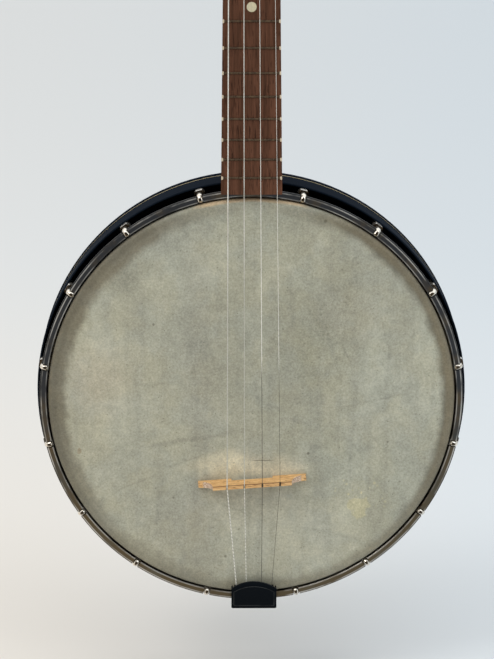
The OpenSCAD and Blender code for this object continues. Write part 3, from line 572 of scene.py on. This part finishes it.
MATERIALS = {
    "rim_black": lacquer("rim_black", (0.017, 0.017, 0.019), 0.30),
    "tone_brass": metal("tone_brass", (0.70, 0.55, 0.28), (0.25, 0.17, 0.08), 0.30),
    "calfskin": calfskin(),
    "flesh_wire": metal("flesh_wire", (0.50, 0.42, 0.27), (0.18, 0.13, 0.07), 0.4),
    "hoop_metal": hoop_metal(),
    "nickel": hook_nickel(),
    "dull_nickel": metal("dull_nickel", (0.52, 0.49, 0.44), (0.22, 0.17, 0.11), 0.30,
                         stained=0.4, scratch=0.12, scale=3.0),
    "stick_wood": wood("stick_wood", (0.24, 0.12, 0.05), (0.42, 0.24, 0.11), (0.52, 0.32, 0.16), pores=0.3),
    "back_black": lacquer("back_black", (0.007, 0.011, 0.018), 0.20, coat=0.02, specular=0.002, dust=0.12,
                          back_coat=0.8),
    "stripe_gold": metal("stripe_gold", (0.62, 0.50, 0.26), (0.20, 0.20, 0.20), 0.35),
    "spacer_wood": wood("spacer_wood", (0.05, 0.03, 0.02), (0.10, 0.06, 0.035), (0.14, 0.09, 0.05)),
    "screw_steel": metal("screw_steel", (0.50, 0.48, 0.44), (0.20, 0.15, 0.10), 0.32,
                         stained=0.4, scratch=0.12, scale=2.0),
    "tail_black": lacquer("tail_black", (0.0045, 0.006, 0.008), 0.24, coat=0.05, specular=0.01, dust=0.25),
    "bridge_maple": bridge_maple(),
    "neck_wood": wood("neck_wood", (0.030, 0.013, 0.008), (0.072, 0.030, 0.017), (0.12, 0.055, 0.030),
                      roughness=0.30, coat=0.5, pores=0.25),
    "board_wood": wood("board_wood", (0.062, 0.025, 0.012), (0.108, 0.043, 0.023), (0.146, 0.061, 0.034),
                       grain=1.5, roughness=0.60, pores=0.75, specular=0.15),
    "fret_metal": fret_metal(),
    "dot_cream": cream("dot_cream", (0.62, 0.56, 0.38), (0.45, 0.38, 0.24), 0.5),
    "nut_bone": cream("nut_bone", (0.74, 0.68, 0.50), (0.58, 0.48, 0.30), 0.8),
    # Lighter metal for the cover's edge lines: worn metal and painted highlight
    "wear_and_highlight_edge": metal("wear_and_highlight_edge", (0.10, 0.105, 0.105), (0.02, 0.02, 0.02), 0.34, stained=0.6),
    "overlay_black": lacquer("overlay_black", (0.006, 0.006, 0.008), 0.18, coat=0.25, specular=0.2),
    "string_plain": string_steel("string_plain", (0.12, 0.105, 0.085), (0.05, 0.04, 0.03)),
    "string_wound": string_steel("string_wound", (0.84, 0.82, 0.76), (0.42, 0.38, 0.31), pitch=0.0024),
    "button_cream": cream("button_cream", (0.78, 0.71, 0.53), (0.58, 0.47, 0.28), 1.0),
}

for node_name, node_object in NODES.items():
    node_object.data.materials.clear()
    node_object.data.materials.append(MATERIALS[SLOT_OF[node_name]])


# ---------------------------------------------------------------- mesh helpers

SAME_PLACE = 1e-6
FLAT_ANGLE = math.radians(0.5)
CORNER_ANGLE = math.radians(35)
SHARP_ANGLE = math.radians(38)


def make_object(name, bm, material, smooth=True):
    """An object made from bm, smooth but for its sharp corners."""
    mesh = bpy.data.meshes.new(name)
    bmesh.ops.recalc_face_normals(bm, faces=bm.faces)
    bm.to_mesh(mesh)
    bm.free()
    for poly in mesh.polygons:
        poly.use_smooth = smooth
    if smooth:
        mesh.set_sharp_from_angle(angle=SHARP_ANGLE)
    obj = bpy.data.objects.new(name, mesh)
    bpy.context.scene.collection.objects.link(obj)
    obj.data.materials.append(material)
    return obj


def stand_in(obj, node, body="banjo"):
    """obj takes a CAD node's place."""
    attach(obj, body)
    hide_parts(node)
    return obj


def eased(node, width, body="banjo"):
    """A CAD node's shape with its triangles merged, its corners eased and its curves shaded smoothly."""
    source = NODES[node]
    bm = bmesh.new()
    bm.from_mesh(source.data)
    bm.transform(source.matrix_world)
    bmesh.ops.remove_doubles(bm, verts=bm.verts, dist=SAME_PLACE)
    bmesh.ops.dissolve_limit(bm, angle_limit=FLAT_ANGLE, verts=bm.verts, edges=bm.edges)
    corners = [e for e in bm.edges if len(e.link_faces) == 2 and e.calc_face_angle(0.0) > CORNER_ANGLE]
    bmesh.ops.bevel(bm, geom=corners, offset=width * MM, offset_type="OFFSET", segments=2, profile=0.5,
                    affect="EDGES", clamp_overlap=True)
    return stand_in(make_object(node + "_eased", bm, MATERIALS[SLOT_OF[node]]), node, body)


def loft(bm, rings):
    """Joins rings of points, each with as many points, into one skin that is closed at both ends."""
    made = [[bm.verts.new(p) for p in ring] for ring in rings]
    count = len(rings[0])
    for a, b in zip(made, made[1:]):
        for i in range(count):
            j = (i + 1) % count
            bm.faces.new((a[i], a[j], b[j], b[i]))
    bm.faces.new(made[0][::-1])
    bm.faces.new(made[-1])


def arc_points(cx, cy, r, a0, a1, n):
    """n + 1 points on an arc about (cx, cy), from a0 to a1 degrees."""
    return [(cx + r * math.cos(math.radians(a0 + (a1 - a0) * i / n)),
             cy + r * math.sin(math.radians(a0 + (a1 - a0) * i / n))) for i in range(n + 1)]


def tube(bm, points, radius, sides=10):
    """A round tube through points, with a frame carried along it."""
    rings = []
    normal = None
    for i, p in enumerate(points):
        along = (points[min(i + 1, len(points) - 1)] - points[max(i - 1, 0)]).normalized()
        if normal is None:
            normal = along.orthogonal().normalized()
        normal = (normal - along * normal.dot(along)).normalized()
        side = along.cross(normal)
        turns = [math.tau * k / sides for k in range(sides)]
        rings.append([p + radius * (normal * math.cos(a) + side * math.sin(a)) for a in turns])
    loft(bm, rings)


# ---------------------------------------------------------------- the skin

SKIN_SIDES = 288
SKIN_RINGS = 56
SKIN_CALM_R = 134.0  # mm; beyond it the skin lies flat on the rim


def skin_lift(p, radius):
    """The skin's slow undulation, nothing at the rim."""
    calm = max(0.0, 1 - (radius / SKIN_CALM_R) ** 6)
    slow = noise.noise(Vector((p.x * 14, 3.1, p.z * 9)))
    quick = noise.noise(Vector((p.x * 70, 7.7, p.z * 40)))
    return (slow * 0.10 - 0.11 + quick * 0.02) * MM * calm


def build_skin():
    """The skin over its hoop: a flat disc that turns down round its edge, as thick as the CAD's."""
    top = (FRONT_Y - SKIN_Y) / MM
    low = (FRONT_Y - SKIN_HIGH.y) / MM
    edge = SKIN_R / MM
    thick, bend = 0.4, 2.5
    centre = edge - thick - bend

    def line(depth):
        """Half the section of one face, as (radius, forward), depth below the outer face."""
        flat = [(centre * (i / SKIN_RINGS) ** 0.8, top - depth) for i in range(1, SKIN_RINGS + 1)]
        turn = arc_points(centre, top - bend - thick, bend + thick - depth, 90, 0, 8)[1:]
        return flat + turn + [(edge - depth, low)]

    def join(a, b):
        for k in range(SKIN_SIDES):
            j = (k + 1) % SKIN_SIDES
            bm.faces.new((a[k], a[j], b[j], b[k]))

    bm = bmesh.new()
    lips = []
    for depth in (0, thick):
        rings = []
        for radius, forward in line(depth):
            ring = []
            for k in range(SKIN_SIDES):
                a = math.tau * k / SKIN_SIDES
                p = pot_point(radius * math.sin(a), radius * math.cos(a), forward)
                p.y -= skin_lift(p, radius)
                ring.append(bm.verts.new(p))
            rings.append(ring)
        for a, b in zip(rings, rings[1:]):
            join(a, b)
        bm.faces.new(rings[0])
        lips.append(rings[-1])
    join(*lips)
    return stand_in(make_object("skin", bm, MATERIALS["calfskin"]), "head_skin")


build_skin()

# ---------------------------------------------------------------- the bridge and the cover's panel

RIDGE_H = (BRIDGE_HIGH.y - BRIDGE_LOW.y) / MM
RECESS_HALF, RECESS_H = 14.3, 4.0  # mm, the flat recess under the middle
SCALLOP_R, SCALLOP_UP = 10.6, 13.2  # mm, the scooped ends and the height of their centre
NOTCH_HALF, NOTCH_DEPTH = 0.4, 0.8  # mm
FRET_APART = 4  # mm, less than the closest frets are apart


def bridge_section(low, high):
    """Half the bridge's outline at one place along it: (half thickness, height) from foot to top."""
    foot, ridge, knee = 2.15, 1.1, 3.2  # half thicknesses, and the height where the taper starts
    middle = min(max(knee, low + 0.01), high - 0.05)
    heights = [low, middle, (middle + high) / 2, high - 0.02]
    return [(foot + (ridge - foot) * max(0.0, h - knee) / (RIDGE_H - knee), h) for h in heights]


def bridge_stations():
    """Places along the bridge with the heights of its underside and its top."""
    turn = math.radians(BRIDGE_TURN)
    half = (BRIDGE_HIGH.x - BRIDGE_LOW.x) / MM / 2 / math.cos(turn) - 0.26
    middle = (BRIDGE_HIGH.x + BRIDGE_LOW.x) / MM / 2
    curve = arc_points(-half - 0.6, SCALLOP_UP, SCALLOP_R, -87, 0, 14)
    ridge = half - SCALLOP_R + 0.35
    stations = [(x, 0, h) for x, h in curve] + [(-ridge, 0, RIDGE_H)]
    marks = [("notch", (x - middle) / math.cos(turn)) for x in NOTCH_X]
    marks += [("step", -RECESS_HALF), ("step", RECESS_HALF)]
    for kind, x in sorted(marks, key=lambda m: m[1]):
        low = RECESS_H if abs(x) < RECESS_HALF else 0
        if kind == "notch":
            left, right, floor = x - NOTCH_HALF, x + NOTCH_HALF, RIDGE_H - NOTCH_DEPTH
            stations += [(left, low, RIDGE_H), (left, low, floor), (right, low, floor), (right, low, RIDGE_H)]
        else:
            lows = (0, RECESS_H) if x < 0 else (RECESS_H, 0)
            stations += [(x, lows[0], RIDGE_H), (x, lows[1], RIDGE_H)]
    stations += [(ridge, 0, RIDGE_H)] + [(-x, 0, h) for x, h in reversed(curve)]
    return stations


def build_bridge():
    """The bridge, lofted along its length and turned with it."""
    turn = math.radians(BRIDGE_TURN)
    middle = (BRIDGE_LOW + BRIDGE_HIGH) / 2 / MM
    foot = (FRONT_Y - BRIDGE_FOOT_Y) / MM
    rings = []
    for along, low, high in bridge_stations():
        side = bridge_section(low, high)
        ring = []
        for across, height in [(-a, h) for a, h in side] + side[::-1]:
            ring.append(pot_point(middle.x + along * math.cos(turn) - across * math.sin(turn),
                                  middle.z + along * math.sin(turn) + across * math.cos(turn), foot + height))
        rings.append(ring)
    bm = bmesh.new()
    loft(bm, rings)
    stand_in(make_object("bridge_wood", bm, MATERIALS["bridge_maple"]), "bridge")


def build_cover_panel():
    """The raised panel on the front of the tailpiece cover, arched like the cover's top edge."""
    low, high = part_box("tailpiece_cover")
    half = (high.x - low.x) / MM / 2
    middle = (high.x + low.x) / MM / 2
    front = (FRONT_Y - low.y) / MM
    side_margin, top_margin, foot_margin = 1.7, 3.4, 3.2
    peak = high.z / MM - top_margin
    bottom = low.z / MM + foot_margin
    rise = 5.2
    r = (half * half + rise * rise) / (2 * rise)

    def outline(inset, forward):
        w = half - side_margin - inset
        a = math.degrees(math.asin(w / (r - inset)))
        arch = arc_points(0, peak - r, r - inset, 90 + a, 90 - a, 20)
        plan = [(w, bottom + inset), (-w, bottom + inset)] + arch
        return [pot_point(middle + x, y, forward) for x, y in plan]

    bm = bmesh.new()
    steps = ((0, -0.3), (0, 0.15), (0.12, 0.35), (0.5, 0.45))
    loft(bm, [outline(inset, front + proud) for inset, proud in steps])
    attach(make_object("cover_panel", bm, MATERIALS["tail_black"]), "cover")
    # A loop round the panel's foot in the lighter edge metal: worn metal and painted highlight.
    bm = bmesh.new()
    edge = outline(0.1, front + 0.16)
    for a, b in zip(edge, edge[1:] + edge[:1]):
        tube(bm, [a, b], 0.00022, 8)
    # Painted highlight: a tube in the lighter edge metal along the cover's top edge.
    spread = 36.2  # degrees each side of the top
    arch = arc_points(0, high.z / MM - r - 0.1, r, 90 + spread, 90 - spread, 24)
    outer = [pot_point(middle + x, y, front - 1.15) for x, y in arch]
    tube(bm, outer, 0.00020, 8)
    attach(make_object("cover_edges", bm, MATERIALS["wear_and_highlight_edge"]), "cover")


def fret_rows():
    """The corners of each fret, as one list of points for each."""
    corners = [v.co for v in NODES["frets"].data.vertices]
    heights = sorted({round(p.z / MM) for p in corners})
    rows = [[heights[0]]]
    for z in heights[1:]:
        if z - rows[-1][-1] > FRET_APART:
            rows.append([])
        rows[-1].append(z)
    return [[p for p in corners if row[0] - 1 <= p.z / MM <= row[-1] + 1] for row in rows]


def build_fret_tips():
    """The rubbed, slightly spread ends of the frets at both edges of the fretboard."""
    bm = bmesh.new()
    for row in fret_rows():
        z = (min(p.z for p in row) + max(p.z for p in row)) / 2
        front = min(p.y for p in row)
        half = max(p.x for p in row)
        for side in (-1, 1):
            outer, inner = side * (half - 0.05 * MM), side * (half - 1.5 * MM)
            flare = inner + side * 0.4 * MM
            # Along the fret, half its width and how far below its crown (mm)
            sections = ((inner, 0.5, 0.2), (flare, 1.0, 0.0), (outer, 1.35, 0.05), (outer, 1.2, 0.9))
            rings = []
            for x, tall, sunk in sections:
                crown = [Vector((x, front + (sunk + 0.30 * abs(a)) * MM, z + a * tall * MM))
                         for a in (-1, -0.6, 0, 0.6, 1)]
                foot = [Vector((x, front + 0.95 * MM, z + a * tall * MM)) for a in (1, 0, -1)]
                rings.append(crown + foot)
            loft(bm, rings)
    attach(make_object("fret_tips", bm, MATERIALS["fret_metal"]), "banjo")


build_bridge()
build_cover_panel()
build_fret_tips()
eased("tailpiece_cover", 0.3, "cover")
eased("neck", 0.6)
eased("headstock_overlay", 0.3)
for peg in range(1, 5):
    eased(f"peg_button_{peg}", 1.4, f"peg_{peg}")

# ---------------------------------------------------------------- camera, floor and light

CAMERA_PLACE = (-0.0127, -1.503, 0.3866)
CAMERA_LOOK = (0.0065, 0.974, -0.228)
LENS, SENSOR = 118.16, 36  # mm
FLOOR_GAP = 0.05
FLOOR_HALF = 30
FAN_APEX = 1.7  # how far in front of the origin the floor's tints spread from


def build_camera():
    """The camera in front of the pot, looking a little down at it."""
    data = bpy.data.cameras.new("camera")
    data.sensor_width = SENSOR
    data.lens = LENS
    data.clip_end = 100
    camera = bpy.data.objects.new("camera", data)
    camera.location = CAMERA_PLACE
    camera.rotation_euler = Vector(CAMERA_LOOK).to_track_quat("-Z", "Y").to_euler()
    bpy.context.scene.collection.objects.link(camera)
    bpy.context.scene.camera = camera


def floor_material():
    """Pale floor: cooler towards the right, a little warmer and greyer close in front."""
    mat, t = new_material("pale_floor", 0.9, 0.0, 0.1)
    x, y, _ = t.split(t.place)
    fan = t.math("DIVIDE", x, t.math("ADD", y, FAN_APEX))
    colour = t.mix(t.step(fan, -0.16, 0.18), (0.69, 0.69, 0.68), (0.61, 0.66, 0.70))
    near = t.mix(t.step(fan, -0.12, 0.14), (0.76, 0.68, 0.585), (0.69, 0.715, 0.735))
    colour = t.tint(colour, t.step(y, 1.6, -0.2), 0.6, near)
    cloud = t.noise(1.3, 3, 0.5)
    t.out(t.tint(colour, cloud, 0.12, (0.68, 0.69, 0.70)), t.math("MULTIPLY_ADD", cloud, 0.1, 0.85),
          t.bump(t.noise(40, 3, 0.5), 0.0006, 0.3))
    return mat


def build_floor():
    """A flat floor a little below the object."""
    bm = bmesh.new()
    drop = CAD_BOX[0][2] - FLOOR_GAP
    corners = ((-1, -1), (1, -1), (1, 1), (-1, 1))
    bm.faces.new([bm.verts.new((x * FLOOR_HALF, y * FLOOR_HALF, drop)) for x, y in corners])
    make_object("floor", bm, floor_material(), smooth=False)


def area_light(name, place, size, power, colour):
    """A rectangular light aimed at the origin."""
    data = bpy.data.lights.new(name, "AREA")
    data.shape = "RECTANGLE"
    data.size, data.size_y = size
    data.energy = power
    data.color = colour
    obj = bpy.data.objects.new(name, data)
    obj.location = place
    obj.rotation_euler = (-Vector(place)).to_track_quat("-Z", "Y").to_euler()
    bpy.context.scene.collection.objects.link(obj)


def studio_world():
    """A bright dome over a dim band near the horizon, dimmest on the camera's side."""
    world = bpy.data.worlds.new("studio")
    world.use_nodes = True
    background = world.node_tree.nodes["Background"]
    t = Tree(world.node_tree, background)
    x, y, z = t.split(t.place.node.outputs["Generated"])
    level = t.step(z, 0.05, 0.75, 0.62, 1.22)
    front = t.math("MULTIPLY", t.step(y, -0.35, -0.85), t.step(z, 0.62, 0.30))
    level = t.math("MULTIPLY", level, t.math("SUBTRACT", 1.0, t.math("MULTIPLY", front, 0.72)))
    t.feed(background.inputs["Color"], t.mix(t.step(x, -0.8, 0.8), (1.0, 0.985, 0.955), (0.90, 0.955, 1.0)))
    t.feed(background.inputs["Strength"], level)
    bpy.context.scene.world = world


build_camera()
build_floor()
area_light("key", (-1.5, -1.3, 1.9), (1.0, 1.0), 16, (1.0, 0.98, 0.95))
area_light("fill", (1.7, -1.1, 1.0), (0.8, 1.2), 6, (0.92, 0.97, 1.0))
studio_world()
bpy.context.scene.view_settings.view_transform = "Standard"
